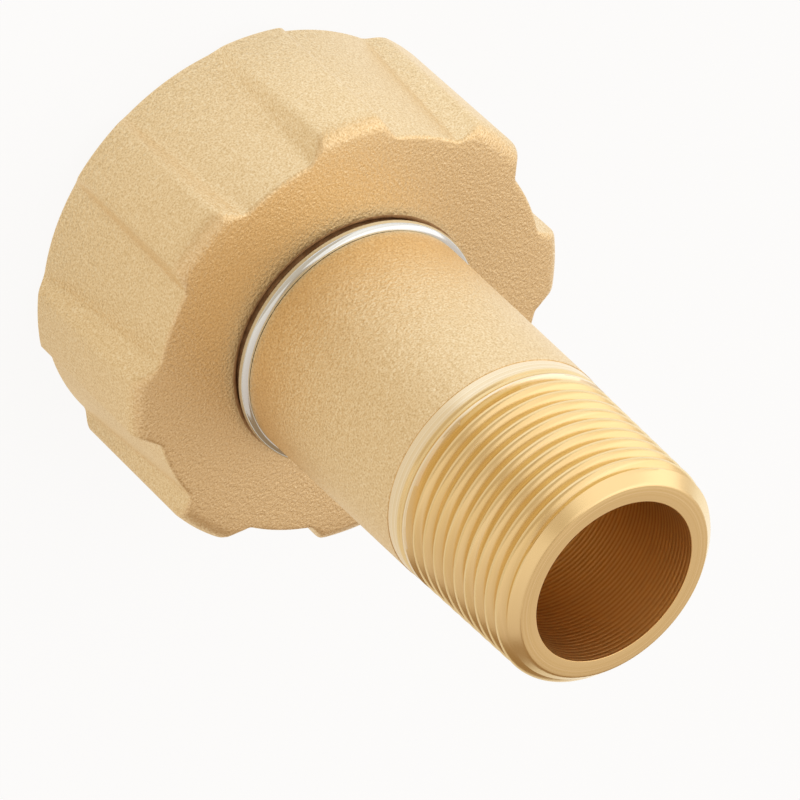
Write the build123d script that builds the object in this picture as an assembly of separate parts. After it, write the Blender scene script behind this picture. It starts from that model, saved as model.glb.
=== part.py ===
from build123d import *
from math import degrees, radians, tan
import os

# Threads, smooth here: the nut's at its minor diameter, the pipe end's at its crests
valve_thread_diameter = 44.45
valve_thread_pitch = 25.4 / 6
valve_thread_play = 0.25
pipe_thread_end_diameter = 26.03
pipe_thread_taper = 1 / 16
pipe_thread_length = 19.0
pipe_thread_chamfer = 1.55

# Coupling nut
nut_length = 23.2
nut_wall = 4.05
nut_web = 4.0
nut_rim_chamfer = 1.1
nut_back_round = 2.0
nut_hole_chamfer = 0.4
nut_corner_fillet = 0.8
nut_draft = 4.1
thread_relief_gap = 0.3

# Gripping lugs on the nut
lug_count = 8
lug_height = 1.35
lug_tip_width = 7.4
lug_flank_angle = 27.0
lug_draft = 0.9
lug_root_fillet = 0.9
lug_edge_fillet = 0.6
lug_turn = 8.6

# Nipple
pipe_wall = 3.52
neck_wall = 4.755
neck_length = 28.6
neck_draft = 1.1
turned_band = 2.2
flange_thickness = 4.0
flange_edge = 0.5
flange_root = 0.6
seat_height = 1.5
seat_wall = 6.0
seat_edge = 0.7
bore_flare = 1.5

# Retaining ring
wire_diameter = 1.6
ring_gap = 2.0

# Clearances
nut_journal_gap = 0.3
nut_flange_gap = 0.3
nut_ring_gap = 0.3
flange_thread_gap = 0.6
wire_groove_gap = 0.05

# Radii that follow from those sizes
thread_minor_radius = (valve_thread_diameter - valve_thread_pitch) / 2
thread_major_radius = valve_thread_diameter / 2 + valve_thread_play
hub_mouth_radius = valve_thread_diameter / 2 + nut_wall
tip_mouth_radius = hub_mouth_radius + lug_height
pipe_end_radius = pipe_thread_end_diameter / 2
bore_radius = pipe_end_radius - pipe_wall
journal_radius = bore_radius + neck_wall
nut_hole_radius = journal_radius + nut_journal_gap
flange_radius = thread_minor_radius - flange_thread_gap
seat_radius = bore_radius + seat_wall
wire_radius = wire_diameter / 2
groove_radius = wire_radius + wire_groove_gap

# Heights above the nut's mouth, on which the coupling stands
web_height = nut_length - nut_web
flange_back = web_height - nut_flange_gap
flange_front = flange_back - flange_thickness
seat_front = flange_front - seat_height
thread_end = seat_front - thread_relief_gap
ring_height = nut_length + nut_ring_gap + wire_radius
neck_end = nut_length + neck_length
pipe_end = neck_end + turned_band + pipe_thread_length


def drafted(radius, draft, height):
    """Radius of a cast surface that narrows by its draft over a height."""
    return radius - height * tan(radians(draft))


def pipe_radius(height):
    """Crest radius of the tapered pipe thread at a height."""
    return pipe_end_radius + (pipe_end - height) * pipe_thread_taper / 2


def lug_outline(height):
    """Outline of the cast nut at a height: a round hub with its ring of lugs."""
    hub_radius = drafted(hub_mouth_radius, nut_draft, height)
    tip_radius = drafted(tip_mouth_radius, lug_draft, height)
    inner = hub_radius - lug_height
    outer = tip_radius + lug_height

    def half_width(radius):
        return lug_tip_width / 2 + (tip_radius - radius) * tan(radians(lug_flank_angle))

    lug = make_face(
        Polyline(
            (inner, -half_width(inner)),
            (outer, -half_width(outer)),
            (outer, half_width(outer)),
            (inner, half_width(inner)),
            close=True,
        )
    )
    outline = Circle(hub_radius) + PolarLocations(0, lug_count, lug_turn) * lug
    outline &= Circle(tip_radius)
    mid_radius = (hub_radius + tip_radius) / 2
    tips = [corner for corner in outline.vertices() if corner.center().length > mid_radius]
    outline = fillet(tips, lug_edge_fillet)
    roots = [corner for corner in outline.vertices() if corner.center().length < mid_radius]
    outline = fillet(roots, lug_root_fillet)
    return Plane.XY.offset(height) * outline


def rounded(section, radius, corner):
    """The section with its corner at a point rounded."""
    return fillet(section.vertices().sort_by_distance(corner)[0], radius)


def make_nut():
    """The nut's turned section, kept where its cast outline with the lugs stands."""
    rim_radius = hub_mouth_radius - nut_rim_chamfer
    rim_height = (tip_mouth_radius - rim_radius) / (1 + tan(radians(lug_draft)))
    back_edge = (drafted(tip_mouth_radius, lug_draft, nut_length), nut_length)
    relief_corner = (thread_major_radius, web_height)
    section = make_face(
        Polyline(
            (thread_major_radius, 0),
            (rim_radius, 0),
            (rim_radius + rim_height, rim_height),
            back_edge,
            (nut_hole_radius + nut_hole_chamfer, nut_length),
            (nut_hole_radius, nut_length - nut_hole_chamfer),
            (nut_hole_radius, web_height + nut_hole_chamfer),
            (nut_hole_radius + nut_hole_chamfer, web_height),
            relief_corner,
            (thread_major_radius, thread_end),
            (thread_minor_radius, thread_end),
            (thread_minor_radius, thread_major_radius - thread_minor_radius),
            close=True,
        )
    )
    section = rounded(section, nut_back_round, back_edge)
    section = rounded(section, nut_corner_fillet, relief_corner)
    turned = revolve(Plane.XZ * section, Axis.Z)
    cast = loft([lug_outline(0), lug_outline(nut_length)], ruled=True)
    return turned & cast


def make_nipple():
    """The nipple, turned from its seat inside the nut to its pipe thread."""
    groove_front = (journal_radius, ring_height - groove_radius)
    groove_back = (journal_radius, ring_height + groove_radius)
    neck_end_radius = drafted(journal_radius, neck_draft, neck_end - groove_back[1])
    chamfer_height = pipe_end - pipe_thread_chamfer
    seat_corner = (seat_radius, seat_front)
    flange_front_corner = (flange_radius, flange_front)
    flange_back_corner = (flange_radius, flange_back)
    flange_root_corner = (journal_radius, flange_back)
    inside_the_nut = Polyline(
        (bore_radius + bore_flare, seat_front),
        seat_corner,
        (seat_radius, flange_front),
        flange_front_corner,
        flange_back_corner,
        flange_root_corner,
        groove_front,
    )
    groove = ThreePointArc(groove_front, (journal_radius - groove_radius, ring_height), groove_back)
    behind_the_nut = Polyline(
        groove_back,
        (neck_end_radius, neck_end),
        (pipe_radius(neck_end), neck_end),
        (pipe_radius(chamfer_height), chamfer_height),
        (pipe_end_radius - pipe_thread_chamfer, pipe_end),
        (bore_radius, pipe_end),
        (bore_radius, seat_front + bore_flare),
        (bore_radius + bore_flare, seat_front),
    )
    section = make_face(inside_the_nut + groove + behind_the_nut)
    section = rounded(section, seat_edge, seat_corner)
    section = rounded(section, flange_edge, flange_front_corner)
    section = rounded(section, flange_edge, flange_back_corner)
    section = rounded(section, flange_root, flange_root_corner)
    return revolve(Plane.XZ * section, Axis.Z)


def make_ring():
    """The wire ring in the nipple's groove, with its split turned to the +Y side."""
    split_angle = degrees(ring_gap / journal_radius)
    wire = Plane.XZ * Pos(journal_radius, ring_height) * Circle(wire_radius)
    ring = revolve(wire, Axis.Z, 360 - split_angle)
    return Rot(Z=90 + split_angle / 2) * ring


os.makedirs("parts", exist_ok=True)
export_step(make_nut(), "parts/coupling_nut.step")
export_step(make_nipple(), "parts/nipple.step")
export_step(make_ring(), "parts/retaining_ring.step")
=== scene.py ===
from math import asin, atan2, cos, pi, radians, sin, sqrt, tan

import bmesh
import bpy
from mathutils import Matrix, Vector


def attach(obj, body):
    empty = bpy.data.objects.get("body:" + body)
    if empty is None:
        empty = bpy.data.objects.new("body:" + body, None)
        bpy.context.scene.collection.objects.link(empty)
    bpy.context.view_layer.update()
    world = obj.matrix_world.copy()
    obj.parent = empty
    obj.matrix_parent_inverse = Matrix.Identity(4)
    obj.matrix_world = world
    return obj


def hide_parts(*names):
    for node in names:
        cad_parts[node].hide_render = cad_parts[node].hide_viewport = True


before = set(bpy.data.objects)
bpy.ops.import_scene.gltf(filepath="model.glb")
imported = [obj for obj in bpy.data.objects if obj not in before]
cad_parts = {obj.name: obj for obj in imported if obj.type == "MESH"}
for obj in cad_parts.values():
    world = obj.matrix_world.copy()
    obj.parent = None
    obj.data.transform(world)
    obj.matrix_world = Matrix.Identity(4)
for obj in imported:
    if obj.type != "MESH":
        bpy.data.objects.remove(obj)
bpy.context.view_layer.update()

# Nipple: the brass tube that the gas flows through, cast with a plain neck and turned at both ends.
# Inside the nut it has a flange with a raised seat that presses on the valve's washer, and outside
# it ends in a tapered pipe thread cut with a die, which runs out at a turned band.
MM = 0.001
FACETS = 192
pipe_end = 73.0
pipe_end_radius = 13.015
pipe_taper = 1 / 32
pipe_chamfer = 1.55
pipe_edge_round = 0.13
thread_foot = 54.4
thread_pitch = 25.4 / 14
thread_root_width = 0.1
thread_runout = 0.6
thread_root_at_x_axis = 68.38
last_groove = 53.93
last_groove_depth = 0.3
last_groove_round = 0.3
last_crest_width = 0.5
band_end = 53.45
band_start = 51.8
band_waver = 0.12
neck_radius = 14.25
neck_draft = radians(1.1)
groove_height = 24.3
groove_radius = 0.85
journal_root_round = 0.6
flange_radius = 19.508
flange_back = 18.9
flange_front = 14.9
flange_edge_round = 0.5
seat_radius = 15.495
seat_front = 13.4
seat_edge_round = 0.7
bore_radius = 9.495
bore_flare = 1.5
bore_edge_round = 0.08
drill_mark_spacing = 0.52


def section_vertex(bm, radius, height):
    return bm.verts.new((radius, 0, height))


def chain(bm, points):
    """A run of section vertices at (radius, height), joined by edges."""
    run = [section_vertex(bm, *point) for point in points]
    for low, high in zip(run, run[1:]):
        bm.edges.new((low, high))
    return run


def round_corner(bm, corner, radius):
    """Rounds one corner of a section."""
    bmesh.ops.bevel(
        bm, geom=[corner], offset=radius, affect="VERTICES", segments=5, profile=0.5, material=-1
    )


def turned(bm, steps, rise=0.0):
    """Turns everything in the bmesh once round Z, climbing by the rise on the way."""
    bmesh.ops.spin(
        bm, geom=bm.verts[:] + bm.edges[:], cent=(0, 0, 0), axis=(0, 0, 1),
        dvec=(0, 0, rise / steps), angle=2 * pi, steps=steps, use_merge=rise == 0,
    )


def pipe_crest(height):
    """Crest radius of the tapered pipe thread at a height."""
    return pipe_end_radius + (pipe_end - height) * pipe_taper


def finished(bm, name, materials, sharp_angle, pick_material):
    """Makes a closed bmesh in millimetres into an object in metres, each face with its finish."""
    bmesh.ops.remove_doubles(bm, verts=bm.verts[:], dist=0.002)
    bmesh.ops.dissolve_degenerate(bm, edges=bm.edges[:], dist=0.0005)
    bmesh.ops.recalc_face_normals(bm, faces=bm.faces[:])
    for face in bm.faces:
        centre = face.calc_center_median()
        face.material_index = materials.index(pick_material(centre.xy.length, centre.z))
        face.smooth = True
    bmesh.ops.scale(bm, vec=(MM, MM, MM), verts=bm.verts[:])
    mesh = bpy.data.meshes.new(name)
    bm.to_mesh(mesh)
    bm.free()
    mesh.set_sharp_from_angle(angle=sharp_angle)
    for material in materials:
        mesh.materials.append(material)
    piece = bpy.data.objects.new(name, mesh)
    bpy.context.scene.collection.objects.link(piece)
    return piece


def new_material(name, colour, roughness):
    """A metal with its shader set, and the nodes that its detail is added to."""
    material = bpy.data.materials.new(name)
    material.use_nodes = True
    nodes, links = material.node_tree.nodes, material.node_tree.links
    shader = nodes["Principled BSDF"]
    shader.inputs["Base Color"].default_value = (*colour, 1)
    shader.inputs["Metallic"].default_value = 1.0
    shader.inputs["Roughness"].default_value = roughness
    return material, nodes, links, shader


def noise_node(nodes, links, vector, scale, detail):
    """Noise on a vector, in grains per metre."""
    node = nodes.new("ShaderNodeTexNoise")
    node.inputs["Scale"].default_value = scale
    node.inputs["Detail"].default_value = detail
    links.new(vector, node.inputs["Vector"])
    return node.outputs["Fac"]


def ramp(nodes, links, factor, *stops):
    """A colour ramp with (position, colour) stops."""
    node = nodes.new("ShaderNodeValToRGB")
    elements = node.color_ramp.elements
    while len(elements) < len(stops):
        elements.new(0.5)
    for element, (position, colour) in zip(elements, stops):
        element.position = position
        element.color = (*colour, 1)
    links.new(factor, node.inputs["Fac"])
    return node.outputs["Color"]


def add_bump(nodes, links, shader, height, depth):
    """Bump of a height in millimetres on a shader."""
    node = nodes.new("ShaderNodeBump")
    node.inputs["Strength"].default_value = 1.0
    node.inputs["Distance"].default_value = depth * MM
    links.new(height, node.inputs["Height"])
    if shader.inputs["Normal"].is_linked:
        links.new(shader.inputs["Normal"].links[0].from_socket, node.inputs["Normal"])
    links.new(node.outputs["Normal"], shader.inputs["Normal"])


def map_range(nodes, links, value, low, high):
    """A value from 0 to 1 brought to another range."""
    node = nodes.new("ShaderNodeMapRange")
    node.inputs["To Min"].default_value = low
    node.inputs["To Max"].default_value = high
    links.new(value, node.inputs["Value"])
    return node.outputs["Result"]


def object_point(nodes):
    return nodes.new("ShaderNodeTexCoord").outputs["Object"]


def make_cast_brass():
    """Sand-cast brass, blasted to a pale satin skin of fine bright and dark grains."""
    material, nodes, links, shader = new_material("cast_brass", (0.87, 0.70, 0.43), 0.46)
    point = object_point(nodes)
    grain = noise_node(nodes, links, point, 5000, 2)
    colour = ramp(
        nodes, links, grain,
        (0.3, (0.73, 0.55, 0.30)), (0.5, (0.87, 0.69, 0.42)), (0.7, (0.96, 0.82, 0.57)),
    )
    links.new(colour, shader.inputs["Base Color"])
    links.new(map_range(nodes, links, grain, 0.54, 0.40), shader.inputs["Roughness"])
    add_bump(nodes, links, shader, noise_node(nodes, links, point, 2600, 1), 0.09)
    add_bump(nodes, links, shader, grain, 0.04)
    return material


def ring_coordinate(nodes, links, point):
    """Distance along a turning tool's path: height plus distance from the axis."""
    split = nodes.new("ShaderNodeSeparateXYZ")
    links.new(point, split.inputs[0])
    flat = nodes.new("ShaderNodeCombineXYZ")
    links.new(split.outputs["X"], flat.inputs["X"])
    links.new(split.outputs["Y"], flat.inputs["Y"])
    length = nodes.new("ShaderNodeVectorMath")
    length.operation = "LENGTH"
    links.new(flat.outputs[0], length.inputs[0])
    total = nodes.new("ShaderNodeMath")
    links.new(length.outputs["Value"], total.inputs[0])
    links.new(split.outputs["Z"], total.inputs[1])
    return total.outputs[0]


def ring_noise(nodes, links, distance, scale):
    """Uneven rings along a distance, in rings per metre."""
    node = nodes.new("ShaderNodeTexNoise")
    node.noise_dimensions = "1D"
    node.inputs["Scale"].default_value = scale
    node.inputs["Detail"].default_value = 2.0
    links.new(distance, node.inputs["W"])
    return node.outputs["Fac"]


def make_turned_brass(name, dull, bright):
    """Brass as the tool leaves it, with faint rings from a dull to a bright shade."""
    material, nodes, links, shader = new_material(name, bright, 0.25)
    point = object_point(nodes)
    rings = ring_noise(nodes, links, ring_coordinate(nodes, links, point), 5000)
    colour = ramp(nodes, links, rings, (0.3, dull), (0.7, bright))
    links.new(colour, shader.inputs["Base Color"])
    links.new(map_range(nodes, links, rings, 0.2, 0.3), shader.inputs["Roughness"])
    add_bump(nodes, links, shader, rings, 0.001)
    return material


def make_bored_brass():
    """The drilled bore, with the drill's close spiral marks."""
    material, nodes, links, shader = new_material("bored_brass", (0.92, 0.65, 0.29), 0.36)
    point = object_point(nodes)
    marks = nodes.new("ShaderNodeTexWave")
    marks.bands_direction = "Z"
    # The wave node runs through 20 radians in one unit.
    marks.inputs["Scale"].default_value = 2 * pi / drill_mark_spacing / MM / 20
    marks.inputs["Distortion"].default_value = 1.2
    marks.inputs["Detail Scale"].default_value = 60
    links.new(point, marks.inputs["Vector"])
    rings = marks.outputs["Fac"]
    colour = ramp(nodes, links, rings, (0.0, (0.74, 0.45, 0.17)), (1.0, (0.95, 0.69, 0.33)))
    links.new(colour, shader.inputs["Base Color"])
    add_bump(nodes, links, shader, rings, 0.02)
    return material


def make_gap_shade_brass():
    """Painted shade: blotchy dark brown brass, only partly metal so that it catches some light, for
    the nipple's journal and the nut's hole, which lie in the shaded gap under the ring.
    """
    material, nodes, links, shader = new_material("gap_shade_brass", (0.52, 0.31, 0.15), 0.6)
    shader.inputs["Metallic"].default_value = 0.2
    shade_blotches = noise_node(nodes, links, object_point(nodes), 900, 4)
    colour = ramp(nodes, links, shade_blotches, (0.3, (0.40, 0.22, 0.10)), (0.7, (0.62, 0.39, 0.20)))
    links.new(colour, shader.inputs["Base Color"])
    add_bump(nodes, links, shader, shade_blotches, 0.01)
    return material


def join(bm, other):
    """Adds another bmesh, which is used up."""
    mesh = bpy.data.meshes.new("joined")
    other.to_mesh(mesh)
    other.free()
    bm.from_mesh(mesh)
    bpy.data.meshes.remove(mesh)


def make_pipe_thread():
    """A zigzag of tapered thread, turned up a helix and trimmed by the chamfer and the run-out."""
    bm = bmesh.new()
    flank = (thread_pitch - thread_root_width) / 2
    thread_depth = flank / tan(radians(30)) * 2 / pi
    rising = [
        (thread_root_width / 2 + flank * share, thread_depth * (1 - sin(pi / 2 * share)))
        for share in (0, 0.2, 0.4, 0.6, 0.8, 1)
    ]
    tooth = rising + [(thread_pitch - rise, depth) for rise, depth in reversed(rising[:-1])]
    turns_below = int((thread_root_at_x_axis - thread_foot) / thread_pitch) + 3
    turns_above = int((pipe_end - thread_root_at_x_axis) / thread_pitch) + 3
    chain(bm, [
        (pipe_end_radius - depth, thread_root_at_x_axis + turn * thread_pitch + rise)
        for turn in range(-turns_below, turns_above)
        for rise, depth in tooth
    ])
    turned(bm, FACETS, rise=thread_pitch)
    for vertex in bm.verts:
        height = min(max(vertex.co.z, thread_foot), pipe_end - pipe_edge_round)
        lift = thread_depth * max(0, 1 - (height - thread_foot) / thread_runout)
        depth = max(0, pipe_end_radius - vertex.co.xy.length - lift)
        chamfer = pipe_end_radius - pipe_chamfer + pipe_end - height
        vertex.co.xy *= min(pipe_crest(height) - depth, chamfer) / vertex.co.xy.length
        vertex.co.z = height
    bmesh.ops.remove_doubles(bm, verts=bm.verts[:], dist=0.002)
    return bm


def make_nipple():
    """The nipple's turned section, with its thread."""
    bm = bmesh.new()
    outside = chain(bm, [
        (pipe_crest(thread_foot), thread_foot),
        (pipe_crest(last_groove) - last_groove_depth, last_groove),
        (pipe_crest(band_end), band_end),
        (pipe_crest(band_start), band_start),
        (neck_radius - (band_start - groove_height - groove_radius) * tan(neck_draft), band_start),
        (neck_radius, groove_height + groove_radius),
    ])
    arc = bmesh.ops.spin(
        bm, geom=[outside[-1]], cent=(neck_radius, 0, groove_height), axis=(0, -1, 0),
        dvec=(0, 0, 0), angle=pi, steps=10,
    )
    groove_end = arc["geom_last"][0]
    inside = chain(bm, [
        (neck_radius, flange_back),
        (flange_radius, flange_back),
        (flange_radius, flange_front),
        (seat_radius, flange_front),
        (seat_radius, seat_front),
        (bore_radius + bore_flare, seat_front),
        (bore_radius, seat_front + bore_flare),
        (bore_radius, pipe_end),
        (pipe_end_radius - pipe_chamfer - 1.2 * pipe_edge_round, pipe_end),
        (pipe_end_radius - pipe_chamfer, pipe_end - 0.27 * pipe_edge_round),
        (pipe_end_radius - pipe_chamfer + pipe_edge_round, pipe_end - pipe_edge_round),
    ])
    bm.edges.new((groove_end, inside[0]))
    round_corner(bm, outside[1], last_groove_round)
    for corner, radius in (
        (0, journal_root_round), (1, flange_edge_round), (2, flange_edge_round),
        (4, seat_edge_round), (7, bore_edge_round),
    ):
        round_corner(bm, inside[corner], radius)
    turned(bm, FACETS)
    for vertex in bm.verts:
        if vertex.co.z == band_start:
            angle = atan2(vertex.co.y, vertex.co.x)
            waver = sin(3 * angle + 1) + 0.6 * sin(8 * angle) + 0.3 * sin(21 * angle)
            vertex.co.z += band_waver * waver
    join(bm, make_pipe_thread())
    return bm


def nipple_finish(radius, height):
    if radius < bore_radius + 0.05:
        return bored_brass
    # The turned band and the last crest get a paler copy of the turned brass: painted highlight on
    # real turned surfaces.
    if band_start < height < band_end or thread_foot < height < thread_foot + last_crest_width:
        return band_highlight_brass
    # The journal, inside the nut's hole and in the gap under the ring, gets painted shade.
    if flange_back < height < groove_height:
        return gap_shade_brass
    return cast_brass if groove_height + groove_radius < height < band_start else turned_brass


cast_brass = make_cast_brass()
turned_brass = make_turned_brass("turned_brass", (0.82, 0.63, 0.32), (0.89, 0.71, 0.40))
# A paler copy of turned_brass for the real turned band and the last crest: painted highlight.
band_highlight_brass = make_turned_brass("band_highlight_brass", (0.84, 0.68, 0.43), (0.93, 0.83, 0.64))
bored_brass = make_bored_brass()
gap_shade_brass = make_gap_shade_brass()
nipple = finished(
    make_nipple(), "nipple_piece", (cast_brass, turned_brass, bored_brass, band_highlight_brass, gap_shade_brass),
    radians(42), nipple_finish,
)
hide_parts("nipple")
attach(nipple, "nipple")

# Coupling nut: one brass casting that is slid over the nipple from its pipe end. Eight lugs give a
# hand or a hammer a grip, the back has a hole for the nipple, and the mouth is bored out and cut
# with a coarse trapezoidal thread that ends in a relief in front of the web.
nut_length = 23.2
hub_mouth_radius = 26.275
hub_back_radius = 24.612
tip_mouth_radius = 27.625
tip_back_radius = 27.26
lug_count = 8
lug_turn = radians(8.6)
lug_tip_width = 7.4
lug_flank = radians(27)
lug_edge_round = 1.0
lug_root_round = 1.1
rim_radius = 25.175
edge_softness = 0.18
lug_end_round = 2.0
recess_end_round = 0.45
back_ring_radius = 23.6
mouth_ring_radius = 24.2
nut_hole_radius = 14.55
nut_hole_round = 0.6
web_height = 19.2
relief_round = 0.8
valve_thread_major = 22.475
valve_thread_minor = 20.108
valve_thread_pitch = 25.4 / 6
valve_thread_flank = radians(14.5)
valve_thread_end = 13.1
valve_thread_end_slope = 3
nut_facets = 36 * lug_count


def lug_outline(bm, hub_radius, tip_radius, height):
    """One turn of the nut's outline: half a lug and half a recess, mirrored and repeated."""
    flank_slope = tan(lug_flank)
    tip_angle = asin(lug_tip_width / 2 / tip_radius)
    lean = lug_tip_width / 2 + tip_radius * cos(tip_angle) * flank_slope
    a, b, c = 1 + flank_slope**2, -2 * lean * flank_slope, lean**2 - hub_radius**2
    foot_x = (-b + sqrt(b * b - 4 * a * c)) / (2 * a)
    foot_angle = asin((lean - foot_x * flank_slope) / hub_radius)
    sector = pi / lug_count

    def arc(start, angle, steps):
        return bmesh.ops.spin(
            bm, geom=[start], cent=(0, 0, 0), axis=(0, 0, 1), dvec=(0, 0, 0), angle=angle,
            steps=steps,
        )["geom_last"][0]

    old_verts, old_edges = set(bm.verts), set(bm.edges)

    def added(parts, old):
        return [part for part in parts if part not in old]

    tip_corner = arc(bm.verts.new((tip_radius, 0, height)), tip_angle, 4)
    foot = bm.verts.new((hub_radius * cos(foot_angle), hub_radius * sin(foot_angle), height))
    bm.edges.new((tip_corner, foot))
    arc(foot, sector - foot_angle, 5)
    for corner, radius in ((tip_corner, lug_edge_round), (foot, lug_root_round)):
        bmesh.ops.bevel(
            bm, geom=[corner], offset=radius * 0.5, affect="VERTICES", segments=4, profile=0.5,
            material=-1,
        )
    half = added(bm.verts, old_verts) + added(bm.edges, old_edges)
    bmesh.ops.mirror(bm, geom=half, matrix=Matrix.Identity(4), merge_dist=0.001, axis="Y")
    lug_verts, lug_edges = added(bm.verts, old_verts), added(bm.edges, old_edges)
    bmesh.ops.rotate(
        bm, verts=lug_verts, cent=(0, 0, 0), matrix=Matrix.Rotation(lug_turn, 3, "Z")
    )
    bmesh.ops.spin(
        bm, geom=lug_verts + lug_edges, cent=(0, 0, 0), axis=(0, 0, 1), dvec=(0, 0, 0),
        angle=2 * pi * (lug_count - 1) / lug_count, steps=lug_count - 1, use_duplicate=True,
    )
    bmesh.ops.remove_doubles(bm, verts=added(bm.verts, old_verts), dist=0.001)
    return added(bm.edges, old_edges)


def next_ring(bm, edges, place):
    """Extrudes a loop and puts each new vertex at its place."""
    made = bmesh.ops.extrude_edge_only(bm, edges=edges)["geom"]
    for vertex in made:
        if isinstance(vertex, bmesh.types.BMVert):
            vertex.co = place(vertex)
    return [edge for edge in made if isinstance(edge, bmesh.types.BMEdge) and edge.is_boundary]


def even_ring(bm, edges, radius, height):
    """Extrudes a loop to a circle on which its vertices are evenly spaced from a lug's middle."""
    edges = next_ring(bm, edges, lambda vertex: vertex.co)
    around = {vertex for edge in edges for vertex in edge.verts}
    around = sorted(around, key=lambda v: (atan2(v.co.y, v.co.x) - lug_turn + 0.001) % (2 * pi))
    for place, vertex in enumerate(around):
        angle = lug_turn + 2 * pi * place / len(around)
        vertex.co = (radius * cos(angle), radius * sin(angle), height)


def make_nut_outside():
    """The cast outside: a drafted wall of lugs, its ends carried in to the back and the mouth."""
    bm = bmesh.new()
    wall_radius = bm.verts.layers.float.new("wall_radius")
    mouth = lug_outline(bm, hub_mouth_radius, tip_mouth_radius, 0)
    back = lug_outline(bm, hub_back_radius, tip_back_radius, nut_length)
    bmesh.ops.bridge_loops(bm, edges=mouth + back)

    def end_round(radius):
        return max(recess_end_round, radius - tip_back_radius + lug_end_round)

    foot_of = {}
    for vertex in {vertex for edge in back for vertex in edge.verts}:
        neighbours = (edge.other_vert(vertex) for edge in vertex.link_edges)
        foot_of[vertex] = next(other for other in neighbours if other.co.z == 0)
    for top, foot in foot_of.items():
        rise = top.co - foot.co
        narrowing = foot.co.xy.length - top.co.xy.length
        crease = (foot.co.xy.length - rim_radius) / (nut_length + narrowing)
        top.co -= rise * (end_round(top.co.xy.length) / nut_length)
        foot.co += rise * (crease + edge_softness / nut_length)
        top[wall_radius] = top.co.xy.length
        foot[wall_radius] = rim_radius + crease * nut_length

    def at(vertex, radius, height):
        flat = vertex.co.xy.normalized() * radius
        return Vector((flat.x, flat.y, height))

    def on_back_round(vertex, angle):
        radius = vertex[wall_radius]
        curve = end_round(radius)
        return at(vertex, radius - curve * (1 - cos(angle)), nut_length - curve * (1 - sin(angle)))

    edges = back
    for step in range(1, 7):
        edges = next_ring(bm, edges, lambda vertex: on_back_round(vertex, pi / 2 * step / 6))
    even_ring(bm, edges, back_ring_radius, nut_length)

    soft = edge_softness / sqrt(2)
    edges = next_ring(bm, mouth, lambda vertex: at(
        vertex, vertex[wall_radius] - soft, vertex[wall_radius] - rim_radius - soft
    ))
    edges = next_ring(bm, edges, lambda vertex: at(vertex, rim_radius + soft, soft))
    edges = next_ring(bm, edges, lambda vertex: at(vertex, rim_radius - edge_softness, 0))
    even_ring(bm, edges, mouth_ring_radius, 0)
    return bm


def make_valve_thread():
    """The nut's thread: a trapezoidal zigzag up a helix, chamfered at the mouth and at its end."""
    bm = bmesh.new()
    depth = valve_thread_major - valve_thread_minor
    flank = depth * tan(valve_thread_flank)
    root = (valve_thread_pitch / 2 - flank) / 2
    tooth = [(-root, valve_thread_major), (root, valve_thread_major)]
    for share in (0.25, 0.5, 0.75, 1):
        tooth.append((root + flank * share, valve_thread_major - depth * share))
    for share in (1, 0.75, 0.5, 0.25):
        rise = valve_thread_pitch - root - flank * share
        tooth.append((rise, valve_thread_major - depth * share))
    turns = int(valve_thread_end / valve_thread_pitch) + 2
    chain(bm, [
        (radius, turn * valve_thread_pitch + rise)
        for turn in range(-2, turns)
        for rise, radius in tooth
    ])
    turned(bm, nut_facets, rise=valve_thread_pitch)
    for vertex in bm.verts:
        height = min(max(vertex.co.z, 0), valve_thread_end)
        mouth_cone = valve_thread_major - height
        end_cone = valve_thread_major - valve_thread_end_slope * (valve_thread_end - height)
        vertex.co.xy *= max(vertex.co.xy.length, mouth_cone, end_cone) / vertex.co.xy.length
        vertex.co.z = height
    bmesh.ops.remove_doubles(bm, verts=bm.verts[:], dist=0.002)
    return bm


def make_nut():
    """The nut's machined inside, its thread and its cast outside."""
    bm = bmesh.new()
    inside = chain(bm, [
        (back_ring_radius, nut_length),
        (nut_hole_radius, nut_length),
        (nut_hole_radius, web_height),
        (valve_thread_major, web_height),
        (valve_thread_major, valve_thread_end),
    ])
    chain(bm, [(valve_thread_major, 0), (mouth_ring_radius, 0)])
    for corner, radius in zip((1, 2, 3), (nut_hole_round, nut_hole_round, relief_round)):
        round_corner(bm, inside[corner], radius)
    turned(bm, nut_facets)
    join(bm, make_valve_thread())
    bmesh.ops.rotate(
        bm, verts=bm.verts[:], cent=(0, 0, 0), matrix=Matrix.Rotation(lug_turn, 3, "Z")
    )
    join(bm, make_nut_outside())
    return bm


def nut_finish(radius, height):
    # The nut's hole wall and its rounded back edge, in the gap under the ring, get painted shade.
    if radius < nut_hole_radius + nut_hole_round and web_height < height < nut_length - 0.01:
        return gap_shade_brass
    machined = radius < mouth_ring_radius and height < nut_length - 0.01
    return turned_brass if machined else cast_brass


nut = finished(
    make_nut(), "nut_piece", (cast_brass, turned_brass, gap_shade_brass), radians(32), nut_finish
)
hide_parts("coupling_nut")
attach(nut, "nut")

# Retaining ring: a split ring of bright steel wire, sprung into the nipple's groove behind the nut
# so that the nut can't slide back off. Its two ends are cropped square.
wire_radius = 0.8
ring_radius = neck_radius
ring_height = groove_height
ring_split = 2.0
ring_end_round = 0.12


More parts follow.
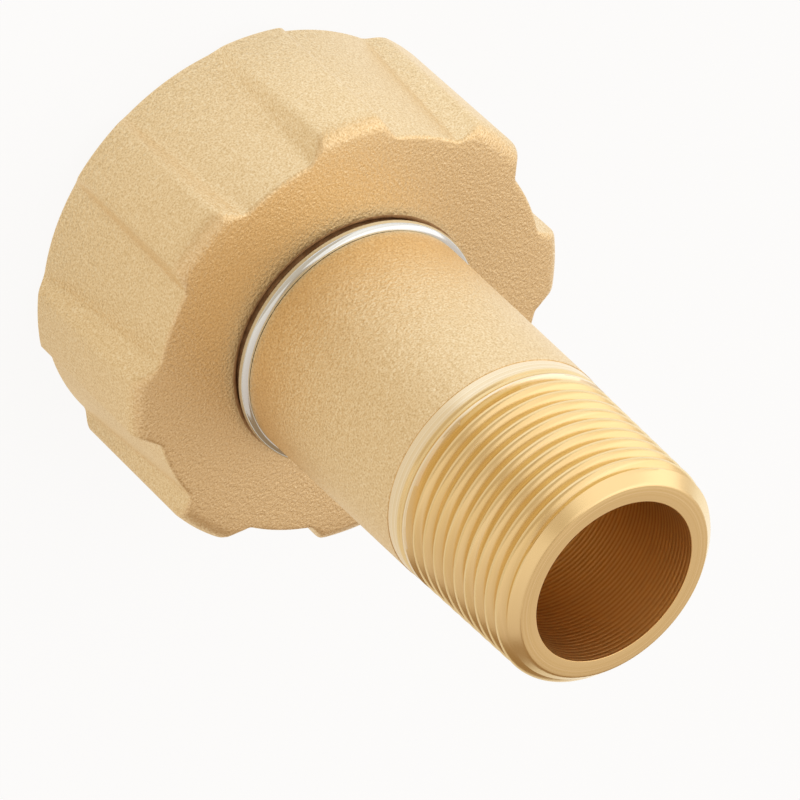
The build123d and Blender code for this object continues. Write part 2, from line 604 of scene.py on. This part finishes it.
def make_ring():
    """The wire's round section, turned about the axis up to the split at +Y."""
    bm = bmesh.new()
    split_angle = ring_split / ring_radius
    bmesh.ops.create_circle(
        bm, cap_ends=True, segments=24, radius=wire_radius,
        matrix=Matrix.Translation((ring_radius, 0, ring_height)) @ Matrix.Rotation(pi / 2, 4, "X"),
    )
    bmesh.ops.rotate(
        bm, verts=bm.verts[:], cent=(0, 0, 0),
        matrix=Matrix.Rotation(pi / 2 + split_angle / 2, 3, "Z"),
    )
    bmesh.ops.spin(
        bm, geom=bm.verts[:] + bm.edges[:] + bm.faces[:], cent=(0, 0, 0), axis=(0, 0, 1),
        dvec=(0, 0, 0), angle=2 * pi - split_angle, steps=FACETS,
    )
    cropped = [edge for face in bm.faces if len(face.verts) > 4 for edge in face.edges]
    bmesh.ops.bevel(
        bm, geom=cropped, offset=ring_end_round, affect="EDGES", segments=3, profile=0.5,
        material=-1,
    )
    return bm


def make_ring_steel():
    """Drawn steel wire: bright, with faint draw lines."""
    material, nodes, links, shader = new_material("ring_steel", (0.74, 0.80, 0.85), 0.12)
    point = object_point(nodes)
    lines = ring_noise(nodes, links, ring_coordinate(nodes, links, point), 9000)
    links.new(map_range(nodes, links, lines, 0.08, 0.16), shader.inputs["Roughness"])
    add_bump(nodes, links, shader, lines, 0.003)
    return material


ring_steel = make_ring_steel()
ring = finished(
    make_ring(), "ring_piece", (ring_steel,), radians(40), lambda radius, height: ring_steel
)
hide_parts("retaining_ring")
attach(ring, "nipple")

# Stage: a white sheet under the coupling, white to the camera; in reflections it glows brighter
# than white on one side and is painted a dim warm shade on the other. Around it is a dim warm
# studio with three large soft lamps, two on the bright side and one in front. None of it belongs to
# the coupling.
floor_half_width = 3.0
floor_grey = 0.85
floor_white_share = 0.9
sheet_fade = 0.025
sheet_dim_side = (0.95, -0.3, 0)
# In reflections the sheet is painted light on its bright side and painted shade on its dim side,
# where the coupling's shadow falls.
sheet_glow_and_shade_tones = (0.0, (1.17, 1.17, 1.17)), (1.0, (0.88, 0.80, 0.68))
dark_side = (0.45, 0.87, 0.2)
wall_tones = (0.2, (0.68, 0.56, 0.42)), (0.9, (0.36, 0.23, 0.12))
lamp_size = 1.6
lamps = ((-0.74, 0.0, 0.67), 4.4), ((-0.44, 0.6, 0.67), 3.0), ((0.72, -0.19, 0.67), 3.0)
camera_place = (1.452, -350.33, 356.57)
camera_right = (-0.68515, 0.49301, 0.53620)
camera_up = (-0.72840, -0.46374, -0.50437)
camera_back = (0, -0.73614, 0.67684)


def tones_along(nodes, links, point, direction, reach, tones):
    """Colours that change along a direction, over one reach either side of the origin."""
    along = nodes.new("ShaderNodeVectorMath")
    along.operation = "DOT_PRODUCT"
    along.inputs[1].default_value = direction
    links.new(point, along.inputs[0])
    span = map_range(nodes, links, along.outputs["Value"], 0.0, 1.0)
    span.node.inputs["From Min"].default_value = -reach
    span.node.inputs["From Max"].default_value = reach
    return ramp(nodes, links, span, *tones)


def white_to_camera(nodes, links, path, colour):
    """White where the camera looks straight at it, and a colour where it is reflected."""
    node = nodes.new("ShaderNodeMixRGB")
    node.inputs["Color2"].default_value = (1, 1, 1, 1)
    links.new(path.outputs["Is Camera Ray"], node.inputs["Fac"])
    links.new(colour, node.inputs["Color1"])
    return node.outputs["Color"]


def make_white_sheet():
    """White paper that glows so that it stays white, with a soft shadow on it; what it shows in
    reflections is painted light and painted shade.
    """
    material = bpy.data.materials.new("white_sheet")
    material.use_nodes = True
    nodes, links = material.node_tree.nodes, material.node_tree.links
    paper = nodes["Principled BSDF"]
    paper.inputs["Base Color"].default_value = (floor_grey, floor_grey, floor_grey, 1)
    paper.inputs["Roughness"].default_value = 1.0
    paper.inputs["Specular IOR Level"].default_value = 0.0
    path = nodes.new("ShaderNodeLightPath")
    seen = path.outputs["Is Camera Ray"]
    for ray in ("Is Glossy Ray", "Is Transmission Ray"):
        either = nodes.new("ShaderNodeMath")
        either.operation = "MAXIMUM"
        links.new(seen, either.inputs[0])
        links.new(path.outputs[ray], either.inputs[1])
        seen = either.outputs[0]
    white = nodes.new("ShaderNodeEmission")
    # Painted light and shade along the sheet, seen only in reflections.
    tone = tones_along(nodes, links, object_point(nodes), sheet_dim_side, sheet_fade, sheet_glow_and_shade_tones)
    links.new(white_to_camera(nodes, links, path, tone), white.inputs["Color"])
    mix = nodes.new("ShaderNodeMixShader")
    links.new(map_range(nodes, links, seen, 0.0, floor_white_share), mix.inputs["Fac"])
    links.new(paper.outputs["BSDF"], mix.inputs[1])
    links.new(white.outputs["Emission"], mix.inputs[2])
    links.new(mix.outputs["Shader"], nodes["Material Output"].inputs["Surface"])
    return material


floor_mesh = bpy.data.meshes.new("floor")
bm = bmesh.new()
bmesh.ops.create_grid(bm, x_segments=1, y_segments=1, size=floor_half_width)
bm.to_mesh(floor_mesh)
bm.free()
floor_mesh.materials.append(make_white_sheet())
floor = bpy.data.objects.new("floor", floor_mesh)
bpy.context.scene.collection.objects.link(floor)

camera_data = bpy.data.cameras.new("camera")
camera_data.lens = 200.79
camera_data.sensor_width = 36.0
camera_data.clip_start = 0.01
camera = bpy.data.objects.new("camera", camera_data)
facing = Matrix((camera_right, camera_up, camera_back)).transposed().to_4x4()
camera.matrix_world = Matrix.Translation(Vector(camera_place) * MM) @ facing
bpy.context.scene.collection.objects.link(camera)
bpy.context.scene.camera = camera

world = bpy.data.worlds.new("studio")
bpy.context.scene.world = world
world.use_nodes = True
nodes, links = world.node_tree.nodes, world.node_tree.links
towards = nodes.new("ShaderNodeTexCoord").outputs["Generated"]
walls = tones_along(nodes, links, towards, dark_side, 1.0, wall_tones)
walls = white_to_camera(nodes, links, nodes.new("ShaderNodeLightPath"), walls)
links.new(walls, nodes["Background"].inputs["Color"])

for place, watts in lamps:
    lamp_data = bpy.data.lights.new("soft_lamp", "AREA")
    lamp_data.size = lamp_size
    lamp_data.energy = watts
    lamp = bpy.data.objects.new("soft_lamp", lamp_data)
    facing = Vector(place).to_track_quat("Z", "Y").to_matrix().to_4x4()
    lamp.matrix_world = Matrix.Translation(place) @ facing
    bpy.context.scene.collection.objects.link(lamp)

bpy.context.scene.view_settings.view_transform = "Standard"
